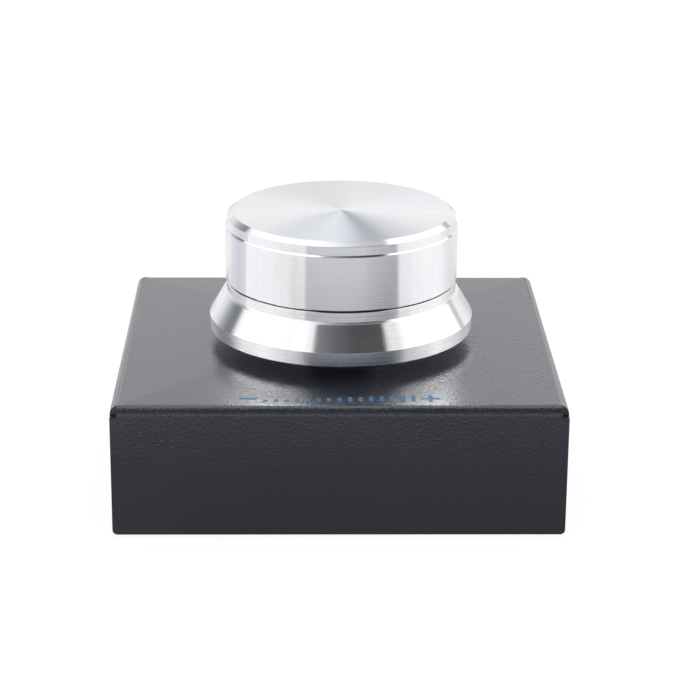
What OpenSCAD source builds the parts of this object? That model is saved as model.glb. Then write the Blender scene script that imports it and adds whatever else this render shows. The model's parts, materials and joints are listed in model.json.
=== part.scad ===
// Desktop volume control: a turned aluminium knob on a folded steel box.
// Millimetres, +Z up. The origin is on the desk, under the middle of the box, and the front faces -Y.

/* [Box] */
// Width of the box, left to right
box_w = 80; // [76:1:110]
// Depth of the box, front to back
box_d = 75; // [70:1:110]
// Height of the folded cover
box_h = 24; // [22:0.5:40]
// Thickness of the sheet steel of the cover
sheet_t = 1; // [0.8:0.1:1.2]
// Outside radius of the folded edges
bend_r = 1.6; // [1.4:0.1:2]
// Width of the relief notch at each end of a front or rear fold
notch_w = 1.2; // [1:0.1:1.3]
// Depth of the relief notch below the top
notch_h = 1.9; // [1.8:0.1:3]
// Radius of the lower corners of the front and rear flaps
corner_r = 0.9; // [0.4:0.1:2]
// Seam between the end of a side flap and the flap that covers it
seam_gap = 0.1; // [0.05:0.05:0.3]

/* [Base plate] */
// Thickness of the base plate
plate_t = 1; // [0.8:0.1:1.5]
// How far the base plate sits up inside the lower edge of the cover
plate_recess = 1.4; // [0.6:0.1:1.6]
// Gap around the base plate
plate_gap = 0.15; // [0.1:0.05:0.4]

/* [Feet] */
// Radius of a rubber foot where it sticks to the plate
foot_r = 4.5; // [3.5:0.1:5]
// Height of a rubber foot
foot_h = 2; // [1.8:0.1:4]
// How much smaller the tread of a foot is, in radius
foot_taper = 0.5; // [0.2:0.1:1]
// Distance of each foot's middle from the two nearest sides of the box
foot_inset = 7.5; // [6.5:0.1:8]

/* [Case screws and brackets] */
// Radius of a case screw's shank
screw_r = 1.25; // [1:0.05:1.5]
// Radius of a case screw's head
screw_head_r = 2.4; // [2.2:0.1:2.8]
// Height of a case screw's head
screw_head_h = 1.2; // [1:0.1:1.6]
// Length of a case screw below its head
screw_len = 5; // [4:0.5:8]
// Distance of a case screw from the side of the box
screw_inset_x = 6.5; // [5.5:0.1:7]
// Distance of a case screw from the front or rear of the box
screw_inset_y = 17.5; // [16.5:0.5:22]
// Thickness of a corner bracket
bracket_t = 1.5; // [1:0.1:2]
// Width of a corner bracket along the side of the box
bracket_w = 10; // [8:0.5:14]
// Height of a corner bracket's welded leg
bracket_h = 8; // [6:0.5:9]
// Reach of a corner bracket's tapped leg from the side wall
bracket_reach = 9; // [8.5:0.1:11]

/* [Circuit board] */
// Width of the circuit board
board_w = 50; // [46:1:56]
// Reach of the board in front of the knob's axis
board_ahead = 20; // [16:0.5:30]
// Thickness of the board
board_t = 1.6; // [1:0.1:2]
// Gap between the board's rear edge and the rear flap
board_gap = 0.5; // [0.3:0.1:1]
// Distance of each standoff from the two nearest edges of the board
standoff_inset = 4; // [3.5:0.1:4.5]
// Hexagon standoff, flat to flat
standoff_af = 5; // [4.5:0.1:5.5]
// Height of a board screw's head
board_screw_head_h = 1.4; // [1:0.1:1.6]
// Length of a board screw below its head
board_screw_len = 6; // [5:0.5:7]

/* [USB inlet] */
// Width of the inlet's steel shell
usb_w = 7.7; // [7:0.1:9]
// Height of the shell
usb_h = 3.9; // [3.5:0.1:4.5]
// Length of the shell
usb_len = 9; // [8:0.1:11]
// Thickness of the shell's sheet
usb_wall = 0.35; // [0.25:0.05:0.4]
// How far the mouth sits inside the outer face of the rear flap
usb_recess = 0.2; // [0.1:0.1:0.6]
// Gap around the shell in the rear flap's cut-out
usb_gap = 0.5; // [0.3:0.1:1]
// Width of the tongue inside the inlet
tongue_w = 3.8; // [3.4:0.1:4.2]
// Thickness of the tongue
tongue_t = 0.8; // [0.6:0.1:1]

/* [Encoder] */
// Offset of the encoder, and so of the knob, to the right of the box's middle
encoder_x = 0.7; // [0:0.1:2]
// Width of the encoder
encoder_w = 11.7; // [11.2:0.1:13]
// Depth of the encoder
encoder_d = 12; // [11.2:0.1:13]
// Height of the encoder from the board to its shoulder under the cover
encoder_h = 7; // [6.8:0.1:8]
// Thickness of the steel frame over the encoder
frame_t = 0.4; // [0.3:0.05:0.5]
// Thickness of the zinc flange under the frame
flange_t = 1.6; // [1.5:0.1:1.8]
// Outside radius of the threaded bushing
bushing_r = 3.5; // [3.4:0.1:4]
// Length of the bushing above the encoder's shoulder
bushing_len = 7; // [6:0.5:8]
// Clearance of the bushing in the cover's hole
bushing_clear = 0.2; // [0.1:0.05:0.5]
// Number of detents in one turn
detents = 24; // [12, 24]

/* [Shaft] */
// Radius of the shaft
shaft_r = 3; // [2.9:0.05:3.1]
// Length of the shaft above the encoder's shoulder
shaft_len = 20; // [18:0.5:21]
// Distance from the shaft's axis to its flat
flat_offset = 1.5; // [1.3:0.1:2]
// Length of the flat from the top of the shaft
flat_len = 10; // [7:0.5:12]
// Running clearance between the shaft and the bushing, in radius
run_clear = 0.05; // [0.02:0.01:0.08]
// How far the knob can be pressed
push_travel = 0.5; // [0.3:0.05:0.6]

/* [Nut and washer] */
// Washer radius
washer_r = 5.8; // [5:0.1:6]
// Washer thickness
washer_t = 0.5; // [0.4:0.1:0.8]
// Hexagon nut, flat to flat
nut_af = 10; // [9.5:0.1:11]
// Nut thickness
nut_t = 2; // [1.8:0.1:2.5]

/* [Knob] */
// Radius of the gripped cylinder
grip_r = 21.55; // [20:0.05:23]
// Height of the gripped cylinder
grip_h = 10; // [8:0.1:14]
// Gap between the cover and the underside of the knob
knob_gap = 2.65; // [1.5:0.05:3]
// Radius of the skirt at its widest
skirt_r = 24.6; // [24:0.1:26]
// Height of the upright band round the skirt
band_h = 2.65; // [2:0.05:3]
// Height of the skirt's cone
cone_h = 4.45; // [4:0.05:6]
// Width of the sloping ledge at the top of the cone
ledge_w = 0.5; // [0.3:0.05:0.8]
// Height of the sloping ledge
ledge_h = 0.3; // [0.2:0.05:0.5]
// Height of the short collar under the groove
collar_h = 1.7; // [1.2:0.1:3]
// How much smaller the collar is than the grip, in radius
collar_step = 0.15; // [0.05:0.05:0.5]
// Height of the groove under the grip
groove_h = 0.45; // [0.3:0.05:0.8]
// Depth of the groove under the grip
groove_deep = 1.2; // [0.8:0.1:2]
// How much smaller the ring above the grip is, in radius
ring_step = 0.3; // [0.1:0.05:0.6]
// Height of the ring above the grip
ring_h = 1.6; // [1:0.1:3]
// Width of the chamfer round the top face
top_chamfer_w = 1.05; // [0.6:0.05:1.5]
// Height of the chamfer round the top face
top_chamfer_h = 0.75; // [0.4:0.05:1.2]
// Broken edge on the knob's corners
edge_break = 0.15; // [0.05:0.05:0.2]
// Clearance of the shaft in the knob's bore, in radius
bore_clear = 0.03; // [0.02:0.01:0.06]
// Clearance around the nut inside the knob
nut_clear = 1; // [0.8:0.1:2]
// Radius of the set screw
set_screw_r = 1.5; // [1.25:0.05:2]
// Length of the set screw
set_screw_len = 5; // [4:0.5:8]

/* [Hidden] */
$fn = 96;

// Gap that stands for the flanks of a thread, in radius
thread_gap = 0.02;
// A cut runs this far past the face it opens
past = 1;
// Stretches of one solid run this far into each other where they join
lap = 0.5;

// Screw heads, as shares of the head's own radius and height
head_flat = 0.8;
head_rim = 0.6;
recess_reach = 0.55;
recess_slot = 0.22;
recess_depth = 0.6;

// Heights above the desk
plate_z = foot_h;
plate_top = plate_z + plate_t;
cover_z = plate_z - plate_recess;
cover_top = cover_z + box_h;
cover_inside = cover_top - sheet_t;
board_top = cover_inside - encoder_h;
board_z = board_top - board_t;
flange_top = cover_inside - frame_t;
flange_z = flange_top - flange_t;

// The board, front and rear edge and middle
board_front = -board_ahead;
board_rear = box_d / 2 - sheet_t - board_gap;
board_mid = (board_front + board_rear) / 2;
standoff_x = board_w / 2 - standoff_inset;
standoff_ys = [board_front + standoff_inset, board_rear - standoff_inset];
board_screw_head_r = screw_head_r;
board_hole_clear = 0.2;
board_hole_r = screw_r + board_hole_clear;
standoff_bore_spare = 0.5;

// The inlet
usb_mouth = box_d / 2 - usb_recess;
usb_back = usb_mouth - usb_len;
usb_mid_z = board_z - usb_h / 2;
usb_step = 1;
usb_tab_w = 1.2;
usb_tab_setback = 2.5;
usb_tab_y = usb_mouth - usb_tab_setback - usb_tab_w;
usb_pins = 5;
usb_pitch = 0.65;
usb_pin_w = 0.3;
usb_pin_t = 0.15;
usb_tail_len = 1;
usb_block_len = usb_len / 2;
tongue_setback = 1.2;

// Inside the encoder
cavity_r = 4.9;
base_floor = 0.8;
pocket_r = 3.2;
pocket_h = 1;
disc_t = 0.6;
disc_hole_r = 2.6;
wiper_h = 0.6;
wiper_inner_r = 3.1;
wiper_outer_r = 4.2;
wiper_t = 0.15;
wiper_foot_w = 0.5;
rotor_r = 4.6;
rotor_t = 1;
spring_t = 0.25;
spring_inner_r = 4.15;
spring_outer_r = 4.8;
collar_seat_r = 4.1;
collar_seat_h = 0.8;
shaft_collar_r = 3.8;
shaft_collar_t = 0.6;
drive_r = 2.4;
drive_flat = 1.8;
drive_clear = 0.05;
stop_gap = 0.05;
dome_r = 3;
dome_rise = 0.65;
dome_t = 0.1;
tip_gap = 0.02;
pocket_z = board_top + base_floor;
disc_z = pocket_z + pocket_h;
wiper_z = disc_z + disc_t;
rotor_z = wiper_z + wiper_h;
collar_seat_top = flange_z + collar_seat_h;
shaft_tip_z = pocket_z + dome_rise + tip_gap;
notch_cut_w = 0.7;
notch_cut_h = 0.3;
pawl_w = 0.4;
frame_leg_w = 5;
frame_tab_w = 2;
tab_below = 0.8;
slot_clear = 0.15;

// Small parts hang under the board; each place is the middle of the part, from the board's middle
chip_place = [-10, 2];
chip_size = [9.9, 3.9, 1.4];
chip_gap = 0.15;
lead_count = 8;
lead_pitch = 1.27;
lead_w = 0.42;
lead_t = 0.2;
lead_out = 1.05;
crystal_place = [-10, 10];
crystal_size = [10.8, 4.4, 3.5];
filter_place = [14, -4];
filter_r = 2.5;
filter_h = 5.4;
filter_base = [5.3, 5.3, 0.8];
chip_capacitor_places = [[-18, 6], [-2, 6], [6, 18], [9, 4], [18, 6], [6, 22]];
chip_capacitor_size = [2, 1.25, 0.9];
chip_resistor_places = [[-6, 18], [-6, 21], [10, 8], [14, 8], [-18, 14], [-14, 16]];
chip_resistor_size = [2, 1.25, 0.5];

// Encoder pins: across, and -1 for the three in front or 1 for the two switch pins behind
pin_places = [[-2.5, -1], [0, -1], [2.5, -1], [-2.5, 1], [2.5, 1]];
pin_w = 0.7;
pin_t = 0.3;
pin_out = 1;
pin_rise = 1;
pin_y = encoder_d / 2 + pin_out - pin_t / 2;
pin_hole_r = 0.5;

// The knob, heights above its own underside
knob_z = cover_top + knob_gap;
collar_r = grip_r - collar_step;
ring_r = grip_r - ring_step;
cone_top = band_h + cone_h;
collar_z = cone_top + ledge_h;
groove_z = collar_z + collar_h;
grip_z = groove_z + groove_h;
grip_top = grip_z + grip_h;
ring_z = grip_top + ring_step;
ring_top = ring_z + ring_h;
knob_h = ring_top + top_chamfer_h;
nut_corner_r = nut_af / 2 / cos(30);
recess_r = nut_corner_r + nut_clear;
recess_h = bushing_len - sheet_t + push_travel + nut_clear - knob_gap;
bore_spare = 0.3;
bore_top = shaft_len - sheet_t + bore_spare - knob_gap;
set_screw_z = knob_z + grip_z + grip_h / 2;
set_screw_socket_r = 0.87;
set_screw_socket_h = 1.6;

// Puts a copy in each of the four corners: sx is -1 left and 1 right, sy is -1 front and 1 rear
module corner(sx, sy) {
    mirror([sx < 0 ? 1 : 0, 0, 0]) mirror([0, sy < 0 ? 1 : 0, 0]) children();
}

module four_corners() {
    for (sx = [-1, 1], sy = [-1, 1]) corner(sx, sy) children();
}

// Sets a section, drawn outwards and upwards, on the side of the box that faces angle
module on_side(angle, reach) {
    rotate([0, 0, angle]) translate([reach, 0, cover_top]) rotate([90, 0, 0]) children();
}

// Section of a folded edge, the start of the top and the flap down to depth, from the outer corner
module fold_section(depth) {
    intersection() {
        translate([-bend_r, -bend_r]) difference() {
            circle(bend_r);
            circle(bend_r - sheet_t);
        }
        translate([-bend_r, -bend_r]) square(bend_r);
    }
    translate([-bend_r - lap, -sheet_t]) square([lap, sheet_t]);
    translate([-sheet_t, -depth]) square([sheet_t, depth - bend_r]);
}

// Front or rear flap below its notches, with rounded lower corners
module end_panel() {
    panel_h = box_h - notch_h;
    linear_extrude(sheet_t) {
        translate([corner_r - box_w / 2, 0]) square([box_w - 2 * corner_r, panel_h]);
        translate([-box_w / 2, corner_r]) square([box_w, panel_h - corner_r]);
        for (side = [-1, 1]) translate([side * (box_w / 2 - corner_r), corner_r]) circle(corner_r);
    }
}

module top_cover() {
    color("#33363c") difference() {
        union() {
            translate([bend_r - box_w / 2, bend_r - box_d / 2, cover_inside])
                cube([box_w - 2 * bend_r, box_d - 2 * bend_r, sheet_t]);
            for (angle = [0, 180]) on_side(angle, box_w / 2)
                linear_extrude(box_d - 2 * (sheet_t + seam_gap), center = true) fold_section(box_h);
            for (angle = [90, 270]) on_side(angle, box_d / 2)
                linear_extrude(box_w - 2 * notch_w, center = true) fold_section(notch_h + lap);
            for (y = [sheet_t - box_d / 2, box_d / 2]) translate([0, y, cover_z])
                rotate([90, 0, 0]) end_panel();
        }
        translate([encoder_x, 0, cover_inside - past])
            cylinder(h = sheet_t + 2 * past, r = bushing_r + bushing_clear);
        translate([-usb_w / 2 - usb_gap, box_d / 2 - sheet_t - past, usb_mid_z - usb_h / 2 - usb_gap])
            cube([usb_w + 2 * usb_gap, sheet_t + 2 * past, usb_h + 2 * usb_gap]);
    }
}

module base_plate() {
    plate_w = box_w - 2 * (sheet_t + plate_gap);
    plate_d = box_d - 2 * (sheet_t + plate_gap);
    color("#2e3136") difference() {
        translate([-plate_w / 2, -plate_d / 2, plate_z]) cube([plate_w, plate_d, plate_t]);
        four_corners() at_case_screw(plate_z - past)
            cylinder(h = plate_t + 2 * past, r = screw_r + plate_gap);
    }
}

module at_case_screw(z) {
    translate([box_w / 2 - screw_inset_x, box_d / 2 - screw_inset_y, z]) children();
}

// Angle piece welded inside a side flap; the case screw goes up into its tapped leg
module bracket(sx, sy) {
    wall_x = box_w / 2 - sheet_t;
    y = box_d / 2 - screw_inset_y - bracket_w / 2;
    color("#8b9097") corner(sx, sy) difference() {
        union() {
            translate([wall_x - bracket_reach, y, plate_top]) cube([bracket_reach, bracket_w, bracket_t]);
            translate([wall_x - bracket_t, y, plate_top]) cube([bracket_t, bracket_w, bracket_h]);
        }
        at_case_screw(plate_top - past) cylinder(h = bracket_t + 2 * past, r = screw_r + thread_gap);
    }
}

// Cross recess in a screw head that faces down, at the head's lower face
module cross_recess(head_r, depth) {
    for (angle = [0, 90]) rotate([0, 0, angle])
        translate([-head_r * recess_reach, -head_r * recess_slot / 2, -past])
            cube([2 * head_r * recess_reach, head_r * recess_slot, past + depth]);
}

// Pan-head screw that goes up into the part from its head
module pan_screw(head_r, head_h, length) {
    difference() {
        rotate_extrude() polygon([[0, -head_h], [head_r * head_flat, -head_h],
            [head_r, -head_h * head_rim], [head_r, 0], [screw_r, 0],
            [screw_r, length - screw_r / 2], [screw_r / 2, length], [0, length]]);
        translate([0, 0, -head_h]) cross_recess(head_r, head_h * recess_depth);
    }
}

module case_screws() {
    color("#9a9ea3") four_corners() at_case_screw(plate_z)
        pan_screw(screw_head_r, screw_head_h, screw_len);
}

// Moulded rubber foot with a narrower tread
module foot(sx, sy) {
    color("#1d1d1f") corner(sx, sy)
        translate([box_w / 2 - foot_inset, box_d / 2 - foot_inset, 0])
            rotate_extrude() polygon([[0, 0], [foot_r - foot_taper, 0], [foot_r, foot_taper],
                [foot_r, foot_h], [0, foot_h]]);
}

// Repeats its children at the four board standoffs
module at_standoffs(z) {
    for (side = [-1, 1], y = standoff_ys) translate([side * standoff_x, y, z]) children();
}

module circuit_board() {
    color("#1f5a3a") difference() {
        translate([-board_w / 2, board_front, board_z])
            cube([board_w, board_rear - board_front, board_t]);
        at_standoffs(board_z - past) cylinder(h = board_t + 2 * past, r = board_hole_r);
        at_encoder(board_z - past) {
            for (side = [-1, 1])
                translate([side * (encoder_w + frame_t) / 2 - frame_t / 2 - slot_clear,
                    -frame_tab_w / 2 - slot_clear, 0])
                    cube([frame_t + 2 * slot_clear, frame_tab_w + 2 * slot_clear, board_t + 2 * past]);
            for (pin = pin_places) translate([pin[0], pin[1] * pin_y, 0])
                cylinder(h = board_t + 2 * past, r = pin_hole_r);
        }
        for (side = [-1, 1])
            translate([side * (usb_w - usb_wall) / 2 - usb_wall / 2 - slot_clear,
                usb_tab_y - slot_clear, board_z - past])
                cube([usb_wall + 2 * slot_clear, usb_tab_w + 2 * slot_clear, board_t + 2 * past]);
    }
}

module board_standoffs() {
    bore_h = board_screw_len - board_t + standoff_bore_spare;
    color("#b9bcc0") at_standoffs(board_top) difference() {
        cylinder(h = encoder_h, r = standoff_af / 2 / cos(30), $fn = 6);
        translate([0, 0, -past]) cylinder(h = bore_h + past, r = screw_r + thread_gap);
    }
}

module board_screws() {
    color("#9a9ea3") at_standoffs(board_z)
        pan_screw(board_screw_head_r, board_screw_head_h, board_screw_len);
}

// Outline of the inlet, wide above and narrow below, taken in all round by inset
module usb_outline(inset) {
    w = usb_w / 2 - inset;
    h = usb_h / 2 - inset;
    polygon([[-w, h], [w, h], [w, 0], [w - usb_step, -h], [usb_step - w, -h], [-w, 0]]);
}

module usb_extrude(y, length) {
    translate([0, y + length, usb_mid_z]) rotate([90, 0, 0]) linear_extrude(length) children();
}

module usb_shell() {
    color("#c4c7cb") {
        usb_extrude(usb_back, usb_len) difference() {
            usb_outline(0);
            usb_outline(usb_wall);
        }
        for (side = [-1, 1])
            translate([side * (usb_w - usb_wall) / 2 - usb_wall / 2, usb_tab_y, usb_mid_z + usb_h / 4])
                cube([usb_wall, usb_tab_w, usb_h / 4 + board_t]);
    }
}

module usb_insulator() {
    tongue_y = usb_back + usb_block_len;
    color("#222326") difference() {
        union() {
            usb_extrude(usb_back, usb_block_len) usb_outline(usb_wall);
            translate([-tongue_w / 2, tongue_y - past, usb_mid_z - tongue_t / 2])
                cube([tongue_w, usb_mouth - tongue_setback - tongue_y + past, tongue_t]);
        }
        usb_strips();
    }
}

// Five strips lie along the tongue's underside and run back through the block
module usb_strips() {
    for (pin = [0 : usb_pins - 1])
        translate([(pin - (usb_pins - 1) / 2) * usb_pitch - usb_pin_w / 2, usb_back - usb_tail_len,
            usb_mid_z - tongue_t / 2])
            cube([usb_pin_w, usb_mouth - 2 * tongue_setback - usb_back + usb_tail_len, usb_pin_t]);
}

// The strips, and the tails that rise behind the block to the board
module usb_contacts() {
    color("#c9a24b") {
        usb_strips();
        for (pin = [0 : usb_pins - 1])
            translate([(pin - (usb_pins - 1) / 2) * usb_pitch - usb_pin_w / 2, usb_back - usb_tail_len,
                usb_mid_z - tongue_t / 2])
                cube([usb_pin_w, usb_pin_t, (usb_h + tongue_t) / 2]);
    }
}

// Under the board, with the board's underside at height 0 and +Z still up
module under_board(place) {
    translate([place[0], board_mid + place[1], board_z]) children();
}

module hanging_block(size, gap) {
    translate([-size[0] / 2, -size[1] / 2, -gap - size[2]]) cube(size);
}

module controller_chip() {
    color("#26282b") under_board(chip_place) hanging_block(chip_size, chip_gap);
}

// Bent leads on both long sides of the chip, from its waist out and up to the board
module chip_leads() {
    waist = chip_gap + chip_size[2] / 2;
    color("#c4c7cb") under_board(chip_place)
        for (side = [-1, 1], lead = [0 : lead_count - 1])
            mirror([0, side < 0 ? 1 : 0, 0])
                translate([(lead - (lead_count - 1) / 2) * lead_pitch - lead_w / 2, chip_size[1] / 2, 0]) {
                    translate([0, 0, -waist]) cube([lead_w, lead_out / 2, lead_t]);
                    translate([0, lead_out / 2 - lead_t, -waist]) cube([lead_w, lead_t, waist]);
                    translate([0, lead_out / 2 - lead_t, -lead_t])
                        cube([lead_w, lead_out / 2 + lead_t, lead_t]);
                }
}

module crystal_can() {
    end_x = (crystal_size[0] - crystal_size[1]) / 2;
    color("#c4c7cb") under_board(crystal_place) translate([0, 0, -crystal_size[2]])
        linear_extrude(crystal_size[2]) {
            square([2 * end_x, crystal_size[1]], center = true);
            for (side = [-1, 1]) translate([side * end_x, 0]) circle(crystal_size[1] / 2);
        }
}

module filter_capacitor() {
    color("#b9bcc0") under_board(filter_place) {
        hanging_block(filter_base, 0);
        translate([0, 0, -filter_h]) cylinder(h = filter_h, r = filter_r);
    }
}

module chip_capacitors() {
    color("#b59a73") for (place = chip_capacitor_places) under_board(place)
        hanging_block(chip_capacitor_size, 0);
}

module chip_resistors() {
    color("#26282b") for (place = chip_resistor_places) under_board(place)
        hanging_block(chip_resistor_size, 0);
}

module at_encoder(z) {
    translate([encoder_x, 0, z]) children();
}

module encoder_base() {
    color("#2b2c30") at_encoder(board_top) difference() {
        translate([-encoder_w / 2, -encoder_d / 2, 0]) cube([encoder_w, encoder_d, flange_z - board_top]);
        translate([0, 0, base_floor]) cylinder(h = pocket_h + past, r = pocket_r);
        translate([0, 0, base_floor + pocket_h]) cylinder(h = flange_z - board_top, r = cavity_r);
    }
}

// Zinc flange and threaded bushing in one piece, with a seat below for the shaft's collar
module encoder_bushing() {
    color("#a9adb2") at_encoder(0) difference() {
        union() {
            translate([-encoder_w / 2, -encoder_d / 2, flange_z]) cube([encoder_w, encoder_d, flange_t]);
            translate([0, 0, flange_z]) cylinder(h = flange_t + frame_t + bushing_len, r = bushing_r);
        }
        translate([0, 0, flange_z - past])
            cylinder(h = past + flange_t + frame_t + bushing_len + past, r = shaft_r + run_clear);
        translate([0, 0, flange_z - past]) cylinder(h = past + collar_seat_h, r = collar_seat_r);
    }
}

// Steel frame: a plate over the flange, and a leg down each side with a tab through the board
module encoder_frame() {
    color("#b9bcc0") at_encoder(0) {
        difference() {
            translate([-encoder_w / 2 - frame_t, -encoder_d / 2, flange_top])
                cube([encoder_w + 2 * frame_t, encoder_d, frame_t]);
            translate([0, 0, flange_top - past]) cylinder(h = frame_t + 2 * past, r = bushing_r + run_clear);
        }
        for (side = [-1, 1]) translate([side * (encoder_w + frame_t) / 2 - frame_t / 2, 0, 0]) {
            translate([0, -frame_leg_w / 2, board_top])
                cube([frame_t, frame_leg_w, cover_inside - board_top]);
            translate([0, -frame_tab_w / 2, board_z - tab_below])
                cube([frame_t, frame_tab_w, cover_inside - board_z + tab_below]);
        }
    }
}

module encoder_terminals() {
    color("#c4c7cb") at_encoder(0) for (pin = pin_places) mirror([0, pin[1] < 0 ? 1 : 0, 0])
        translate([pin[0] - pin_w / 2, encoder_d / 2, 0]) {
            translate([0, 0, board_top + pin_rise]) cube([pin_w, pin_out, pin_t]);
            translate([0, pin_out - pin_t, board_z - tab_below])
                cube([pin_w, pin_t, board_t + tab_below + pin_rise]);
        }
}

// Fixed wafer that carries the printed tracks the wipers run on
module contact_disc() {
    color("#6b4a2c") at_encoder(disc_z) difference() {
        cylinder(h = disc_t, r = cavity_r);
        translate([0, 0, -past]) cylinder(h = disc_t + 2 * past, r = disc_hole_r);
    }
}

// Spring ring under the flange; its pawl drops into a notch of the rotor
module detent_spring() {
    pawl_z = rotor_z + rotor_t - notch_cut_h / 2;
    color("#c7b27a") at_encoder(0) {
        translate([0, 0, flange_z - spring_t]) difference() {
            cylinder(h = spring_t, r = spring_outer_r);
            translate([0, 0, -past]) cylinder(h = spring_t + 2 * past, r = spring_inner_r);
        }
        translate([spring_inner_r + slot_clear, -pawl_w / 2, pawl_z])
            cube([rotor_r - spring_inner_r - slot_clear, pawl_w, flange_z - pawl_z]);
    }
}

// Snap disc that clicks under the shaft and lifts it again
module switch_dome() {
    ball_r = (dome_r * dome_r + dome_rise * dome_rise) / (2 * dome_rise);
    color("#c4c7cb") at_encoder(pocket_z) intersection() {
        translate([0, 0, dome_rise - ball_r]) difference() {
            sphere(ball_r);
            sphere(ball_r - dome_t);
        }
        cylinder(h = dome_rise + past, r = dome_r);
    }
}

module bushing_washer() {
    color("#c4c7cb") at_encoder(cover_top) difference() {
        cylinder(h = washer_t, r = washer_r);
        translate([0, 0, -past]) cylinder(h = washer_t + 2 * past, r = bushing_r + run_clear);
    }
}

module bushing_nut() {
    color("#b9bcc0") at_encoder(cover_top + washer_t) difference() {
        cylinder(h = nut_t, r = nut_corner_r, $fn = 6);
        translate([0, 0, -past]) cylinder(h = nut_t + 2 * past, r = bushing_r + thread_gap);
    }
}

// Round stock cut by two flats, grown by clear; it turns the rotor and slides through it
module drive(height, clear) {
    intersection() {
        cylinder(h = height, r = drive_r + clear);
        translate([-drive_flat - clear, -drive_r - past, 0])
            cube([2 * (drive_flat + clear), 2 * (drive_r + past), height]);
    }
}

module encoder_rotor() {
    color("#e4e1d6") at_encoder(rotor_z) difference() {
        cylinder(h = rotor_t, r = rotor_r);
        translate([0, 0, -past]) drive(rotor_t + 2 * past, drive_clear);
        for (notch = [0 : detents - 1]) rotate([0, 0, notch * 360 / detents])
            translate([spring_inner_r, -notch_cut_w / 2, rotor_t - notch_cut_h])
                cube([rotor_r, notch_cut_w, notch_cut_h + past]);
    }
}

// Contact ring under the rotor with three feet that stand just clear of the tracks
module wiper_contacts() {
    color("#c9a24b") at_encoder(rotor_z - wiper_t) {
        difference() {
            cylinder(h = wiper_t, r = wiper_outer_r);
            translate([0, 0, -past]) cylinder(h = wiper_t + 2 * past, r = wiper_inner_r);
        }
        for (angle = [30, 150, 270]) rotate([0, 0, angle])
            translate([wiper_inner_r + slot_clear, -wiper_foot_w / 2, wiper_t + tip_gap - wiper_h])
                cube([wiper_outer_r - wiper_inner_r - 2 * slot_clear, wiper_foot_w, wiper_h - tip_gap]);
    }
}

// Shaft with its flat above, a collar that stops under the bushing, and the drive down to its tip
module encoder_shaft() {
    collar_base = collar_seat_top - stop_gap - shaft_collar_t;
    shaft_top = cover_inside + shaft_len;
    color("#b7bbc0") at_encoder(0) difference() {
        union() {
            translate([0, 0, collar_base]) cylinder(h = shaft_top - collar_base, r = shaft_r);
            translate([0, 0, collar_base]) cylinder(h = shaft_collar_t, r = shaft_collar_r);
            translate([0, 0, shaft_tip_z]) drive(collar_base + shaft_collar_t - shaft_tip_z, 0);
        }
        translate([-shaft_r - past, flat_offset, shaft_top - flat_len])
            cube([2 * (shaft_r + past), shaft_r, flat_len + past]);
    }
}

// Turned knob: band, cone, ledge, collar, groove, grip, ring and chamfered top, bored from below
module knob_body() {
    color("#d9dadc") at_encoder(knob_z) difference() {
        rotate_extrude() polygon([
            [recess_r, 0],
            [skirt_r - edge_break, 0],
            [skirt_r, edge_break],
            [skirt_r, band_h - edge_break],
            [skirt_r - edge_break, band_h],
            [collar_r + ledge_w, cone_top],
            [collar_r, collar_z],
            [collar_r, groove_z - edge_break],
            [collar_r - edge_break, groove_z],
            [grip_r - groove_deep, groove_z],
            [grip_r - groove_deep, grip_z],
            [grip_r - edge_break, grip_z],
            [grip_r, grip_z + edge_break],
            [grip_r, grip_top],
            [ring_r, ring_z],
            [ring_r, ring_top],
            [ring_r - top_chamfer_w, knob_h],
            [0, knob_h],
            [0, bore_top],
            [shaft_r + bore_clear, bore_top],
            [shaft_r + bore_clear, recess_h],
            [recess_r, recess_h]]);
        translate([0, 0, set_screw_z - knob_z]) rotate([-90, 0, 0])
            cylinder(h = grip_r + past, r = set_screw_r + thread_gap);
    }
}

// Headless screw behind the knob, its point on the shaft's flat
module set_screw() {
    color("#2b2c30") at_encoder(set_screw_z) translate([0, flat_offset, 0]) rotate([-90, 0, 0])
        difference() {
            rotate_extrude() polygon([[0, 0], [set_screw_r / 2, 0], [set_screw_r, set_screw_r / 2],
                [set_screw_r, set_screw_len], [0, set_screw_len]]);
            translate([0, 0, set_screw_len - set_screw_socket_h])
                cylinder(h = set_screw_socket_h + past, r = set_screw_socket_r, $fn = 6);
        }
}

top_cover();
base_plate();
bracket(-1, -1);  // bracket_front_left
bracket(1, -1);  // bracket_front_right
bracket(-1, 1);  // bracket_rear_left
bracket(1, 1);  // bracket_rear_right
case_screws();
foot(-1, -1);  // foot_front_left
foot(1, -1);  // foot_front_right
foot(-1, 1);  // foot_rear_left
foot(1, 1);  // foot_rear_right
circuit_board();
board_standoffs();
board_screws();
usb_shell();
usb_insulator();
usb_contacts();
controller_chip();
chip_leads();
crystal_can();
filter_capacitor();
chip_capacitors();
chip_resistors();
encoder_base();
encoder_bushing();
encoder_frame();
encoder_terminals();
contact_disc();
detent_spring();
switch_dome();
bushing_washer();
bushing_nut();
encoder_rotor();
wiper_contacts();
encoder_shaft();
knob_body();
set_screw();
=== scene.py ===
# %% [markdown]
# # A desktop volume control
#
# A bright turned knob on a black folded steel box. The model of the parts is already there, packed with its
# joints; this script gives every part its finish, makes finer meshes of the parts that show most, and sets
# up a studio and a camera. All lengths are in metres, and +Y points to the rear.

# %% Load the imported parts
import json
from math import cos, pi, radians, sin, tan

import bmesh
import bpy
import numpy as np
from mathutils import Matrix, Vector


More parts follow.
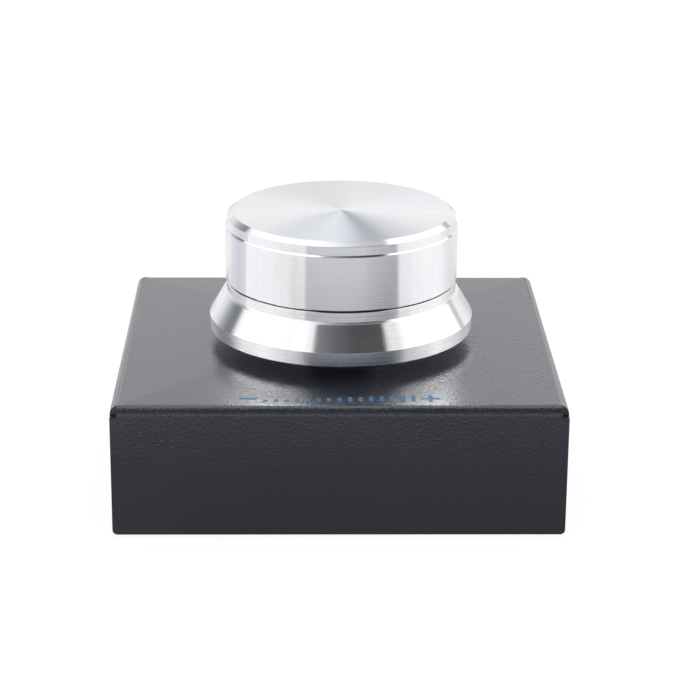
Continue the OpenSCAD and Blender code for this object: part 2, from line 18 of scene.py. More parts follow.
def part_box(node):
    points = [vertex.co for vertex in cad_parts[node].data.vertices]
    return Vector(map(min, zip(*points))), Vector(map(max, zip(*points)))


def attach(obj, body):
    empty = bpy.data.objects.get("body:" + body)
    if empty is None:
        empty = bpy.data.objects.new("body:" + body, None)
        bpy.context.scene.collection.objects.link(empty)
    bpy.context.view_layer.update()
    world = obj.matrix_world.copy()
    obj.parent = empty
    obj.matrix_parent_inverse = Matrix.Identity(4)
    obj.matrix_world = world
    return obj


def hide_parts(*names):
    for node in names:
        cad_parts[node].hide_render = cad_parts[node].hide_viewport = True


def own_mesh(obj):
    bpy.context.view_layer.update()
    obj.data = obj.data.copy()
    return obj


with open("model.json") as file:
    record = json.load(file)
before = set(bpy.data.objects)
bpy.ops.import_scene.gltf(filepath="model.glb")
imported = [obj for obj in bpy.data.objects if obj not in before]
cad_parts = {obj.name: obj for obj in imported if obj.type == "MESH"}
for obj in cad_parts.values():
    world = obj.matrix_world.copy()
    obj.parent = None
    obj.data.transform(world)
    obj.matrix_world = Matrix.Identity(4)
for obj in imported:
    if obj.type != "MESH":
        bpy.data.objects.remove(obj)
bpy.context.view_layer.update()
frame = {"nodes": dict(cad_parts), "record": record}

# %% [markdown]
# ## The camera
#
# The photograph was taken with a long lens from a little above. The angles below come from the lines of the
# box: the camera stands 41 cm in front of the knob's axis and looks down by 19.4 degrees. Blender has
# helpers that aim a camera at a point, but they know nothing of a lens found by measuring. So the three
# directions of the camera are worked out from its angles and become the columns of its matrix.

# %% Camera
MM = 0.001
camera_place = Vector((-6.24, -410.56, 168.38)) * MM
camera_yaw = radians(0.95)
camera_pitch = radians(19.39)
camera_roll = radians(0.35)
focal_px = 2306
picture_px = 680
sensor_mm = 36

ahead = Vector((sin(camera_yaw) * cos(camera_pitch), cos(camera_yaw) * cos(camera_pitch), -sin(camera_pitch)))
level = Vector((cos(camera_yaw), -sin(camera_yaw), 0))
upward = level.cross(ahead)
right = cos(camera_roll) * level + sin(camera_roll) * upward
up = cos(camera_roll) * upward - sin(camera_roll) * level

lens = bpy.data.cameras.new("camera")
lens.sensor_width = sensor_mm
lens.lens = focal_px / picture_px * sensor_mm
camera = bpy.data.objects.new("camera", lens)
camera.matrix_world = Matrix.Translation(camera_place) @ Matrix((right, up, -ahead)).transposed().to_4x4()
bpy.context.scene.collection.objects.link(camera)
bpy.context.scene.camera = camera
print("lens in mm:", round(lens.lens, 1))

# %% [markdown]
# ## Helpers for meshes
#
# A mesh needs no editing tools: points worked out as one array, and faces that number them, are all it is.

# %% A mesh from arrays
def mesh_object(name, points, faces, smooth_below=radians(35)):
    """A new object from an array of points in metres and a list of faces. Edges sharper than the angle stay
    crisp."""
    mesh = bpy.data.meshes.new(name)
    mesh.from_pydata(points, [], faces)
    mesh.validate()
    mesh.shade_smooth()
    mesh.set_sharp_from_angle(angle=smooth_below)
    made = bpy.data.objects.new(name, mesh)
    bpy.context.scene.collection.objects.link(made)
    return made


# %% [markdown]
# A turned part is one profile carried round an axis, so a profile of a few corners is enough. Real edges
# are never sharp: a small arc at each corner catches the light as a thin bright line, and it is worth its
# faces.

# %% A profile with rounded corners
def rounded(corners, steps=6, hold=0.03):
    """The polyline through corners (x, y, radius) with an arc at each: the arc's centre lies on the corner's
    bisector, at radius / sin(half the corner's angle), and the arc sweeps from one edge to the next. One more
    point a little beyond each end of the arc holds the straight wall's shading flat right up to the arc."""
    rows = np.array(corners, float)
    line = [rows[:1, :2]]
    for before, corner, after in zip(rows[:-2], rows[1:-1], rows[2:]):
        to_before = (before[:2] - corner[:2]) / np.linalg.norm(before[:2] - corner[:2])
        to_after = (after[:2] - corner[:2]) / np.linalg.norm(after[:2] - corner[:2])
        half = np.arccos(np.clip(to_before @ to_after, -1, 1)) / 2
        bisector = (to_before + to_after) / np.linalg.norm(to_before + to_after)
        centre = corner[:2] + bisector * corner[2] / sin(half)
        start = corner[:2] + to_before * corner[2] / tan(half) - centre
        end = corner[:2] + to_after * corner[2] / tan(half) - centre
        turn = pi - 2 * half
        t = np.linspace(0, 1, steps)[:, None]
        arc = centre + (start * np.sin((1 - t) * turn) + end * np.sin(t * turn)) / sin(turn)
        line += [arc[:1] + hold * to_before, arc, arc[-1:] + hold * to_after]
    line.append(rows[-1:, :2])
    return np.concatenate(line)


# %% A turned solid
def lathe(name, profile, centre, around=256):
    """A solid of revolution: the point (r, z) of the profile at angle a is (r cos a, r sin a, z). The profile
    starts and ends on the axis, where all its points fall together in one pole."""
    angle = np.arange(around) * 2 * pi / around
    ring = np.stack([np.cos(angle), np.sin(angle), np.zeros(around)], 1)
    inner = profile[1:-1]
    walls = inner[:, None, :1] * ring[None] + np.array([0, 0, 1]) * inner[:, None, 1:]
    poles = np.array([[0, 0, profile[0, 1]], [0, 0, profile[-1, 1]]])
    points = np.concatenate([walls.reshape(-1, 3), poles]) * MM + np.array(centre)
    here = np.arange(around)
    there = (here + 1) % around
    row = np.arange(len(inner) - 1)[:, None] * around
    quads = np.stack([row + here, row + there, row + around + there, row + around + here], -1).reshape(-1, 4)
    last = (len(inner) - 1) * around
    start_fan = np.stack([there, here, np.full(around, last + around)], -1)
    end_fan = np.stack([last + here, last + there, np.full(around, last + around + 1)], -1)
    return mesh_object(name, points, quads.tolist() + start_fan.tolist() + end_fan.tolist())


# %% [markdown]
# ## The knob
#
# The knob is turned from one piece of aluminium bar: an upright band, a cone, a short collar, a deep
# groove, the grip, a slightly narrower ring and a chamfer round the spun top face. It could be cut from
# cylinders with bevels, but a lathe works from a profile, and so does this mesh. The band leans out a
# little towards its top. The recess for the nut and the bore for the shaft are turned from below in the
# same profile.

# %% Knob profile
knob_low, knob_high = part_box("knob_body")
knob_axis = Vector(((knob_low.x + knob_high.x) / 2, (knob_low.y + knob_high.y) / 2, 0))
skirt_r = (knob_high.x - knob_low.x) / 2 / MM
knob_h = (knob_high.z - knob_low.z) / MM
grip_r, grip_h = 21.55, 10
band_h, cone_h = 2.65, 4.45
band_taper = 0.17
ledge_w, ledge_h = 0.5, 0.3
collar_r, collar_h = 21.4, 1.85
groove_deep, groove_h = 1.2, 0.25
ring_r, ring_h = 21.25, 1.6
chamfer_w = 1.05
recess_r, recess_h = 6.7735, 4.85
bore_r, bore_top = 3.03, 16.65
cone_top = band_h + cone_h
groove_z = cone_top + ledge_h + collar_h
grip_z = groove_z + groove_h
ring_z = grip_z + grip_h + grip_r - ring_r
soft, firm, crisp = 0.18, 0.12, 0.07

knob_corners = [
    (0, bore_top, 0), (bore_r, bore_top, crisp), (bore_r, recess_h, crisp), (recess_r, recess_h, crisp),
    (recess_r, 0, soft), (skirt_r - band_taper, 0, soft), (skirt_r, band_h, firm),
    (collar_r + ledge_w, cone_top, crisp), (collar_r, cone_top + ledge_h, crisp), (collar_r, groove_z, soft),
    (grip_r - groove_deep, groove_z, crisp), (grip_r - groove_deep, grip_z, crisp),
    (grip_r, grip_z, soft), (grip_r, grip_z + grip_h, crisp),
    (ring_r, ring_z, crisp), (ring_r, ring_z + ring_h, crisp), (ring_r - chamfer_w, knob_h, crisp),
    (0, knob_h, 0)]
knob_profile = rounded(knob_corners)
knob = lathe("turned_knob", knob_profile, (knob_axis.x, knob_axis.y, knob_low.z), around=512)
print("knob profile:", len(knob_profile), "points; faces:", len(knob.data.polygons))

# %% [markdown]
# The set screw goes in through a hole in the rear of the grip. The hole isn't in the profile, because it
# lies across the axis. So a plug with a countersunk mouth is turned the same way, laid along +Y and
# subtracted.

# %% Set screw hole
def subtract(piece, cutter):
    """Takes the cutter's volume out of the piece, and removes the cutter."""
    cut = piece.modifiers.new("hole", "BOOLEAN")
    cut.operation = "DIFFERENCE"
    cut.solver = "EXACT"
    cut.object = cutter
    evaluated = piece.evaluated_get(bpy.context.evaluated_depsgraph_get())
    cut_mesh = bpy.data.meshes.new_from_object(evaluated)
    piece.modifiers.clear()
    piece.data = cut_mesh
    piece.data.shade_smooth()
    piece.data.set_sharp_from_angle(angle=radians(35))
    bpy.data.objects.remove(cutter)


set_screw_r, countersink = 1.52, 0.25
screw_z = grip_z + grip_h / 2
hole_profile = np.array([
    [0, bore_r / 2], [set_screw_r, bore_r / 2], [set_screw_r, grip_r - countersink],
    [set_screw_r + 2 * countersink, grip_r + countersink], [0, grip_r + countersink]])
plug = lathe("plug", hole_profile, (0, 0, 0), around=48)
hole_start = Matrix.Translation((knob_axis.x, 0, knob_low.z + screw_z * MM))
plug.data.transform(hole_start @ Matrix.Rotation(-pi / 2, 4, "X"))
subtract(knob, plug)
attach(knob, "knob")
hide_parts("knob_body")
print("knob faces with the hole:", len(knob.data.polygons))

# %% [markdown]
# ## The folded cover
#
# The cover is one sheet of steel, folded down on four sides and powder coated. Its folds and notches are in
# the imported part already. It could be drawn again here, but then two drawings would have to agree. The coat
# is a skin of a tenth of a millimetre that runs round each cut edge, so the finer mesh is a merged copy of
# the part with a small bevel on every cut edge.

# %% Merged copies with softened edges
merge_mm, flat_angle, crease = 0.002, radians(0.5), radians(30)


def softened(name, node, body, edge_mm):
    """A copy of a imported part, its loose triangles merged and its flat faces joined, with beveled edges."""
    shape = bmesh.new()
    shape.from_mesh(frame["nodes"][node].data)
    bmesh.ops.remove_doubles(shape, verts=shape.verts, dist=merge_mm * MM)
    bmesh.ops.dissolve_limit(shape, angle_limit=flat_angle, verts=shape.verts, edges=shape.edges)
    mesh = bpy.data.meshes.new(name)
    shape.to_mesh(mesh)
    shape.free()
    mesh.shade_smooth()
    mesh.set_sharp_from_angle(angle=crease)
    made = bpy.data.objects.new(name, mesh)
    bpy.context.scene.collection.objects.link(made)
    edge = made.modifiers.new("soft edges", "BEVEL")
    edge.width = edge_mm * MM
    edge.segments = 3
    edge.limit_method = "ANGLE"
    edge.angle_limit = crease
    edge.harden_normals = True
    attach(made, body)
    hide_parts(node)
    return made


coat_edge = 0.12
cover = softened("folded_cover", "top_cover", "box", coat_edge)
plate = softened("coated_plate", "base_plate", "box", coat_edge)
cover_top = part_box("top_cover")[1].z
print("cover top in mm:", round(cover_top / MM, 2), "faces:", len(cover.data.polygons))

# %% [markdown]
# The small parts that show from outside get the same treatment: the feet are moulded with a round rim, the
# drawn shell of the inlet has no sharp edge at its mouth, and a screw's edges are tumbled in the plating
# drum.

# %% Small parts with softened edges
small_parts = [("usb_shell", "inlet_shell", "box", 0.06), ("usb_insulator", "inlet_insulator", "box", 0.05),
               ("case_screws", "plate_screws", "box", 0.08), ("bushing_nut", "knob_nut", "box", 0.08),
               ("bushing_washer", "knob_washer", "box", 0.06), ("set_screw", "knob_set_screw", "knob", 0.06)]
for corner_name in ("front_left", "front_right", "rear_left", "rear_right"):
    small_parts.append(("foot_" + corner_name, "rubber_foot_" + corner_name, "box", 0.2))
slot_of = {row["node"]: row["material_slot"] for row in frame["record"]["subparts"]}
small = {}
for node, name, body, edge_mm in small_parts:
    small[node] = softened(name, node, body, edge_mm)
print("small parts with softened edges:", len(small))

# %% [markdown]
# The snap dome inside the encoder is a bowed disc of thin spring steel, and the end of the shaft presses it
# nearly flat. Its copy is merged into a mesh of its own. The sheet is too thin for a bevel.

# %% Snap dome
dome = softened("snap_dome", "switch_dome", "box", 0)
dome.modifiers.clear()
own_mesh(dome)
small["switch_dome"] = dome

# %% [markdown]
# ## The printed marks
#
# A row of blue marks is printed near the front edge of the top: a minus, fifteen rising level bars and a
# plus. Ink could be a colour in the coat's material, but as thin flat solids its edges stay crisp from any
# distance.

# %% Printed marks
def bar_outline(width, height, steps=8):
    """A bar with half-round ends: two half circles, one round each end of the longer side."""
    narrow, long = min(width, height) / 2, max(width, height) / 2
    angle = np.linspace(-pi / 2, pi / 2, steps)
    end = np.stack([long - narrow + narrow * np.cos(angle), narrow * np.sin(angle)], 1)
    outline = np.concatenate([end, -end])
    return outline if width >= height else outline[:, ::-1] * [-1, 1]


def plus_outline(size, stroke):
    """A plus sign: the twelve corners of two crossed strokes."""
    a, b = size / 2, stroke / 2
    quarter = np.array([[a, -b], [a, b], [b, b]])
    turns = [np.linalg.matrix_power(np.array([[0, -1], [1, 0]]), k) for k in range(4)]
    return np.concatenate([quarter @ turn.T for turn in turns])


ink_mm, sink_mm = 0.02, 0.02
row_y, row_half = -33.0, 17.6
mark_mm, stroke = 3.2, 0.8
bar_count, bar_pitch, bar_low, bar_step = 15, 1.85, 1.0, 0.155
marks = [(bar_outline(mark_mm, stroke), mark_mm / 2 - row_half, 0)]
for k in range(bar_count):
    tall = bar_low + bar_step * k
    marks.append((bar_outline(stroke, tall), (k - (bar_count - 1) / 2) * bar_pitch, (tall - mark_mm) / 2))
marks.append((plus_outline(mark_mm, stroke), row_half - mark_mm / 2, 0))
print("printed marks:", len(marks), "in a row of", 2 * row_half, "mm")

# %% Ink as one thin solid
points, faces = [], []
for outline, x, y in marks:
    count, base = len(outline), len(points)
    flat = (outline + [x, y + row_y]) * MM
    for z in (cover_top - sink_mm * MM, cover_top + ink_mm * MM):
        points.extend(np.column_stack([flat, np.full(count, z)]))
    ring = np.arange(count)
    next_ring = (ring + 1) % count
    sides = np.stack([ring, next_ring, next_ring + count, ring + count], 1) + base
    faces += sides.tolist() + [(ring[::-1] + base).tolist(), (ring + count + base).tolist()]
print_row = mesh_object("printed_marks", np.array(points), faces)
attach(print_row, "box")
print("faces of the ink:", len(print_row.data.polygons))

# %% [markdown]
# ## Helpers for materials
#
# A material is a small net of nodes. Hex colours are what a paint chart gives, but light is worked out on
# linear numbers, so one function turns the first into the second. Every node is added by one other
# function. Two more hold what nearly all finishes share: a tint that drifts in patches, and a fine pattern
# that sets gloss and height.

# %% Colours
def linear(code):
    """sRGB hex to linear: c / 12.92 below 0.04045, and ((c + 0.055) / 1.055) ** 2.4 above."""
    c = np.array([int(code[k:k + 2], 16) for k in (1, 3, 5)]) / 255
    return (*np.where(c <= 0.04045, c / 12.92, ((c + 0.055) / 1.055) ** 2.4), 1)


print("the middle grey #808080, linear:", round(float(linear("#808080")[0]), 3))

# %% Nodes
MATH, VECTOR_MATH = "ShaderNodeMath", "ShaderNodeVectorMath"


def add(tree, kind, feeds=None, **settings):
    """Adds a node: settings go on the node, and each feed is a number, a colour, the socket it comes from, or
    a node whose first output it takes."""
    made = tree.nodes.new(kind)
    for name, value in settings.items():
        setattr(made, name, value)
    for name, value in (feeds or {}).items():
        if isinstance(value, bpy.types.Node):
            value = value.outputs[0]
        if isinstance(value, bpy.types.NodeSocket):
            tree.links.new(value, made.inputs[name])
        else:
            made.inputs[name].default_value = value
    return made


def new_material(name):
    """A new material, with its tree, its shader and its Object coordinates."""
    made = bpy.data.materials.new(name)
    made.use_nodes = True
    tree = made.node_tree
    tree.nodes.clear()
    shader = add(tree, "ShaderNodeBsdfPrincipled")
    add(tree, "ShaderNodeOutputMaterial", {"Surface": shader.outputs["BSDF"]})
    place = add(tree, "ShaderNodeTexCoord").outputs["Object"]
    return made, tree, shader, place


# %% Patches and relief
def patchy(tree, place, size_mm, tint, other_tint, detail=2.0):
    """A colour that drifts between two tints: smooth noise, with patches of about the given size, mixes
    them."""
    patches = add(tree, "ShaderNodeTexNoise", {"Vector": place, "Scale": 1 / (size_mm * MM),
                                               "Detail": detail})
    return add(tree, "ShaderNodeMix", {"Factor": patches.outputs["Fac"], "A": linear(tint),
                                       "B": linear(other_tint)}, data_type="RGBA").outputs["Result"]


def relief(tree, shader, pattern, roughness_range, height, depth_mm):
    """The pattern, from 0 to 1, runs the roughness from the low to the high end of its range, and the height,
    in shares of the depth, tilts the normal, which is given back."""
    low, high = roughness_range
    rough = add(tree, "ShaderNodeMapRange", {"Value": pattern, "To Min": low, "To Max": high})
    bump = add(tree, "ShaderNodeBump", {"Height": height, "Distance": depth_mm * MM, "Strength": 1.0})
    tree.links.new(rough.outputs["Result"], shader.inputs["Roughness"])
    tree.links.new(bump.outputs["Normal"], shader.inputs["Normal"])
    return bump.outputs["Normal"]


# %% [markdown]
# ## Powder coat
#
# Polyester powder sprayed on the steel and baked. It flows into a fine leathery skin with bumps about half
# a millimetre across: nearly black when seen straight on, and pale where it is seen at a flat angle. Noise
# alone would look like sand, and cells alone like scales, so the height is one less a share of the other.

# %% Powder coat
def powder_coat(name, dark, pale, grain_mm, depth_mm):
    """Black polyester with a clear skin: lumps and cells of about the grain's size lift the surface, and the
    lumps change its gloss a little."""
    made, tree, shader, place = new_material(name)
    grain_scale = 1 / (grain_mm * MM)
    lumps = add(tree, "ShaderNodeTexNoise", {"Vector": place, "Scale": grain_scale, "Detail": 1.5,
                                             "Roughness": 0.5, "Distortion": 0.6}).outputs["Fac"]
    cells = add(tree, "ShaderNodeTexVoronoi", {"Vector": place, "Scale": grain_scale, "Smoothness": 0.5},
                feature="SMOOTH_F1").outputs["Distance"]
    height = add(tree, MATH, {0: cells, 1: -0.7, 2: lumps}, operation="MULTIPLY_ADD")
    normal = relief(tree, shader, lumps, (0.24, 0.38), height, depth_mm)
    tree.links.new(patchy(tree, place, 18, dark, pale), shader.inputs["Base Color"])
    tree.links.new(normal, shader.inputs["Coat Normal"])
    shader.inputs["IOR"].default_value = 1.6
    shader.inputs["Coat Weight"].default_value = 0.8
    shader.inputs["Coat Roughness"].default_value = 0.25
    shader.inputs["Coat IOR"].default_value = 1.5
    return made


coat = powder_coat("black_polyester_powder_coat", "#20242f", "#272b37", grain_mm=0.5, depth_mm=0.05)
print("coat:", len(coat.node_tree.nodes), "nodes")

# %% [markdown]
# ## Turned aluminium
#
# Bright aluminium straight from the lathe. The tool leaves fine rings, so a reflection stays sharp along
# the rings and is smeared across them: upright smears on the walls, and a fan from the middle of the top
# face. The real rings are too fine to show, so these are drawn a quarter of a millimetre wide. The smear
# could come from the bump alone, but it would take very many samples, and the shader's anisotropy gives it
# at once.

# %% Turned metal
def turned_metal(name, tint, axis, roughness, anisotropy, ring_mm, depth_mm, crown=0, crown_z=0, shade=None):
    """Noise on two numbers alone, the distance from the axis and the height, is the same all round, so it
    draws rings. The tangent runs along the rings: it is the axis crossed with the way out from it. A quarter
    turn of the anisotropy then lays the smear across them.
    A crown tilts the shading of faces above crown_z outwards, as on a very flat cone. Shade is a painted
    shade: a darker tint on the bottom of a groove, with the groove's radius, height and half width."""
    made, tree, shader, place = new_material(name)
    from_axis = add(tree, VECTOR_MATH, {0: place, 1: axis}, operation="SUBTRACT")
    height = add(tree, "ShaderNodeSeparateXYZ", {0: from_axis}).outputs["Z"]
    flat = add(tree, VECTOR_MATH, {0: from_axis, 1: (1, 1, 0)}, operation="MULTIPLY")
    radius = add(tree, VECTOR_MATH, {0: flat}, operation="LENGTH").outputs["Value"]
    along = add(tree, VECTOR_MATH, {0: (0, 0, 1), 1: flat}, operation="CROSS_PRODUCT")
    along_world = add(tree, "ShaderNodeVectorTransform", {0: along}, vector_type="VECTOR",
                      convert_from="OBJECT", convert_to="WORLD")
    tangent = add(tree, VECTOR_MATH, {0: along_world}, operation="NORMALIZE")
    section = add(tree, "ShaderNodeCombineXYZ", {"X": radius, "Y": height})
    rings = add(tree, "ShaderNodeTexNoise", {"Vector": section, "Scale": 1 / (ring_mm * MM), "Detail": 2.0,
                                             "Roughness": 0.7}, noise_dimensions="2D").outputs["Fac"]
    normal = relief(tree, shader, rings, (roughness - 0.03, roughness + 0.03), rings, depth_mm)
    if crown:
        top = add(tree, MATH, {0: height, 1: crown_z}, operation="GREATER_THAN")
        slope = add(tree, MATH, {0: radius, 1: top}, operation="MULTIPLY")
        cone = add(tree, "ShaderNodeBump", {"Height": slope, "Distance": -crown, "Strength": 1.0,
                                            "Normal": normal})
        tree.links.new(cone.outputs["Normal"], shader.inputs["Normal"])
    tree.links.new(tangent.outputs[0], shader.inputs["Tangent"])
    shader.inputs["Base Color"].default_value = linear(tint)
    # Painted shade: the bottom of the groove gets a darker tint in the colour.
    if shade:
        shade_tint, shade_r, shade_z, shade_half = shade
        inside = add(tree, MATH, {0: radius, 1: shade_r}, operation="LESS_THAN")
        at_groove = add(tree, MATH, {0: height, 1: shade_z, 2: shade_half}, operation="COMPARE")
        both = add(tree, MATH, {0: inside, 1: at_groove}, operation="MULTIPLY")
        groove_painted_shade = add(tree, "ShaderNodeMix", {"Factor": both, "A": linear(tint), "B": linear(shade_tint)},
                    data_type="RGBA")
        tree.links.new(groove_painted_shade.outputs["Result"], shader.inputs["Base Color"])
    shader.inputs["Metallic"].default_value = 1
    shader.inputs["Anisotropic"].default_value = anisotropy
    shader.inputs["Anisotropic Rotation"].default_value = 0.25
    return made


# %% Bright turned aluminium
shade_in, face_in = 0.3, 0.05
# Painted shade for the groove: its bottom is darkened in the metal's colour.
shade_z = knob_low.z + (groove_z + groove_h / 2) * MM
groove_shade = ("#4a4b50", (grip_r - shade_in) * MM, shade_z, groove_h * MM)
aluminium = turned_metal("bright_turned_aluminium", "#f2f3f4", (knob_axis.x, knob_axis.y, 0), roughness=0.17,
                         anisotropy=1.0, ring_mm=0.25, depth_mm=0.013, crown=0.1,
                         crown_z=knob_high.z - face_in * MM, shade=groove_shade)
print("turned aluminium:", len(aluminium.node_tree.nodes), "nodes")

# %% [markdown]
# ## Ink
#
# Screen ink lies a few hundredths of a millimetre thick on the coat. It is matt, and its film is uneven.
# One plain tint would look like tape, so small patches of a paler one break it up.

# %% Ink
def printing_ink(name, tint, pale):
    """Thin matt ink whose film varies a little from grain to grain."""
    made, tree, shader, place = new_material(name)
    tree.links.new(patchy(tree, place, 0.3, tint, pale), shader.inputs["Base Color"])
    shader.inputs["Roughness"].default_value = 0.5
    return made


ink = printing_ink("blue_screen_ink", "#35648c", "#4a7ba3")
print("ink:", len(ink.node_tree.nodes), "nodes")

# %% [markdown]
# ## Plated, cast and drawn metal
#
# The brackets, screws, shells and springs are pressed, rolled, cast or turned, and most have a thin plate
# on top. What the eye sees is the plate's tint, its patches, and the marks of the work below: drawn out
# along one axis on rolled strip, even in all directions on a casting or on tumbled parts. They differ only
# in those values, so one function serves them all.

# %% Metal for the small parts
def worked_metal(name, tint, patch_tint, roughness, grain_mm, stretch=(1, 1, 1), depth_mm=0.004):
    """Bare or plated metal: noise stretched along the work gives marks in height and gloss, and patches
    change the tint."""
    made, tree, shader, place = new_material(name)
    drawn = add(tree, VECTOR_MATH, {0: place, 1: stretch}, operation="MULTIPLY")
    marks = add(tree, "ShaderNodeTexNoise", {"Vector": drawn, "Scale": 1 / (grain_mm * MM), "Detail": 3.0,
                                             "Roughness": 0.65}).outputs["Fac"]
    relief(tree, shader, marks, (roughness - 0.06, roughness + 0.1), marks, depth_mm)
    tree.links.new(patchy(tree, place, 2.5, tint, patch_tint), shader.inputs["Base Color"])
    shader.inputs["Metallic"].default_value = 1
    return made


along_y, along_z = (1, 0.08, 1), (1, 1, 0.08)

# %% [markdown]
# ## Mouldings, ceramics and rubber
#
# Nylon, acetal, chip epoxy, fired ceramic and rubber differ in tint, in gloss and in how coarse the mould's
# skin is. One function with those values makes them all.

# %% Moulded and fired parts
def moulded(name, tint, worn, roughness, grain_mm, depth_mm, ior=1.5):
    """A moulded or fired part: a fine skin in height and gloss, and slow patches between two tints."""
    made, tree, shader, place = new_material(name)
    skin = add(tree, "ShaderNodeTexNoise", {"Vector": place, "Scale": 1 / (grain_mm * MM), "Detail": 4.0,
                                            "Roughness": 0.6}).outputs["Fac"]
    relief(tree, shader, skin, (roughness - 0.08, roughness + 0.08), skin, depth_mm)
    tree.links.new(patchy(tree, place, 3, tint, worn), shader.inputs["Base Color"])
    shader.inputs["IOR"].default_value = ior
    return made


# %% [markdown]
# ## Laminates
#
# The board is woven glass in epoxy under a green lacquer, and the encoder's wafer is paper in phenolic
# resin. Both show the weave faintly through the top, and their bare resin on the sawn edges. The edges
# could be pieces of their own, but the way a face looks is enough to tell them apart.

# %% Laminates
def laminate(name, lacquer, pale, edge_tint, weave_mm, roughness):
    """Two crossed waves, sin x times sin y, give the weave's height. Faces that don't look up or down are
    bare."""
    made, tree, shader, place = new_material(name)
    wave_scale = pi / (10 * weave_mm * MM)
    warp, weft = (add(tree, "ShaderNodeTexWave", {"Vector": place, "Scale": wave_scale, "Distortion": 0.4},
                      bands_direction=axis).outputs["Fac"] for axis in "XY")
    weave = add(tree, MATH, {0: warp, 1: weft}, operation="MULTIPLY")
    bump = add(tree, "ShaderNodeBump", {"Height": weave, "Distance": 0.01 * MM, "Strength": 1.0})
    facing = add(tree, "ShaderNodeNewGeometry").outputs["True Normal"]
    upward = add(tree, "ShaderNodeSeparateXYZ", {0: facing}).outputs["Z"]
    upright = add(tree, MATH, {0: upward}, operation="ABSOLUTE")
    edge = add(tree, MATH, {0: upright, 1: 0.5}, operation="LESS_THAN")
    top = patchy(tree, place, 4, lacquer, pale, detail=3.0)
    colour = add(tree, "ShaderNodeMix", {"Factor": edge, "A": top, "B": linear(edge_tint)}, data_type="RGBA")
    tree.links.new(colour.outputs["Result"], shader.inputs["Base Color"])
    tree.links.new(bump.outputs["Normal"], shader.inputs["Normal"])
    shader.inputs["Roughness"].default_value = roughness
    shader.inputs["IOR"].default_value = 1.55
    return made


# %% [markdown]
# Each part of the record names a slot, such as black nylon, and each slot gets one material here, so that
# like parts look alike. The drawn can of the capacitor is marked upright, and rolled strip along the depth
# of the box.

# %% Finishes by the slots of the record
finishes = {
    "black_powder_coat": coat,
    "turned_aluminium": aluminium,
    # Cool and satin, yellowish in patches.
    "zinc_plated_steel": worked_metal("bright_zinc_plate", "#c3c8cd", "#b9b6a6", 0.3, 0.5),
    # Warm and bright.
    "plated_screw_steel": worked_metal("nickel_plate", "#c9c6bd", "#b8b4aa", 0.22, 0.3),
    # Nearly white, with faint lines along the strip.
    "tinned_steel": worked_metal("tin_plate", "#cfd1d2", "#bfc2c4", 0.26, 0.4, along_y),
    # Pale gold, with the same lines.
    "contact_bronze": worked_metal("gold_flashed_bronze", "#dcb262", "#c99a4c", 0.25, 0.25, along_y),
    # Soft grey, with upright draw marks.
    "capacitor_can": worked_metal("drawn_aluminium_can", "#d2d4d6", "#c4c6c8", 0.3, 0.3, along_z),
    # Dull grey and grainy.
    "cast_zinc": worked_metal("die_cast_zinc", "#b4b7bb", "#a4a7ab", 0.42, 0.25, depth_mm=0.01),
    # Grey, with satin rings.
    "shaft_metal": turned_metal("turned_shaft_aluminium", "#c6c8cb", (knob_axis.x, knob_axis.y, 0), 0.3, 0.6,
                                0.2, 0.006),
    # Dark metal, half matt.
    "black_oxide_screw": worked_metal("black_oxide_steel", "#3c3e43", "#2e3035", 0.38, 0.3),
    # Dead matt charcoal.
    "foot_rubber": moulded("moulded_black_rubber", "#1c1c1d", "#262627", 0.75, 0.3, 0.02, 1.52),
    # Black with a soft sheen.
    "black_nylon": moulded("moulded_black_nylon", "#18191b", "#202124", 0.45, 0.2, 0.008, 1.53),
    # Dark grey, matt and very fine.
    "chip_epoxy": moulded("moulded_chip_epoxy", "#1d1e20", "#28292b", 0.6, 0.12, 0.008),
    # Tan, like unglazed clay.
    "capacitor_ceramic": moulded("fired_tan_ceramic", "#a78f6c", "#937b58", 0.55, 0.15, 0.006, 1.6),
    # Milky white, with a slight gloss.
    "white_acetal": moulded("natural_white_acetal", "#e4e0d4", "#d8d3c5", 0.35, 0.4, 0.008, 1.48),
    # Glossy green, with straw-coloured edges.
    "board_laminate": laminate("green_lacquered_glass_laminate", "#0f4a2b", "#18603a", "#b5ab84", 0.45, 0.25),
    # Brown, half matt.
    "track_wafer": laminate("brown_paper_laminate", "#5a3622", "#6b4430", "#7d5539", 0.3, 0.4)}
print("finishes:", len(finishes) + 1)

# %% Give the finishes to the parts
def finish_with(piece, material):
    """Makes the material the piece's only one."""
    piece.data.materials.clear()
    piece.data.materials.append(material)


for node, slot in slot_of.items():
    finish_with(frame["nodes"][node], finishes[slot])
for node, piece in small.items():
    finish_with(piece, finishes[slot_of[node]])
finish_with(knob, aluminium)
finish_with(cover, coat)
finish_with(plate, coat)
finish_with(print_row, ink)
print("parts with a finish:", len(slot_of))

# %% [markdown]
# ## Studio
#
# The metal in the photograph shows the studio it stood in: a pale wall behind, white boxes of light at the
# sides and overhead, and the dark room in front. Bright metal has no look of its own and shows all of that.
# Area lamps would do, but the metal would need each of them at its right place, size and shade. So the room
# is worked out in the world as a function of direction, with a smooth step for each edge and a ramp for
# each wall. Only mirrors see it. Matt surfaces get plain white light, in which a colour renders about as it
# is written.

# %% World directions
world = bpy.data.worlds.new("studio")
bpy.context.scene.world = world
world.use_nodes = True
sky = world.node_tree
sky.nodes.clear()


def bearing(tree, side, ahead):
    """The angle in degrees whose sine goes with side and whose cosine goes with ahead."""
    angle = add(tree, MATH, {0: side, 1: ahead}, operation="ARCTAN2")
    return add(tree, MATH, {0: angle}, operation="DEGREES").outputs[0]


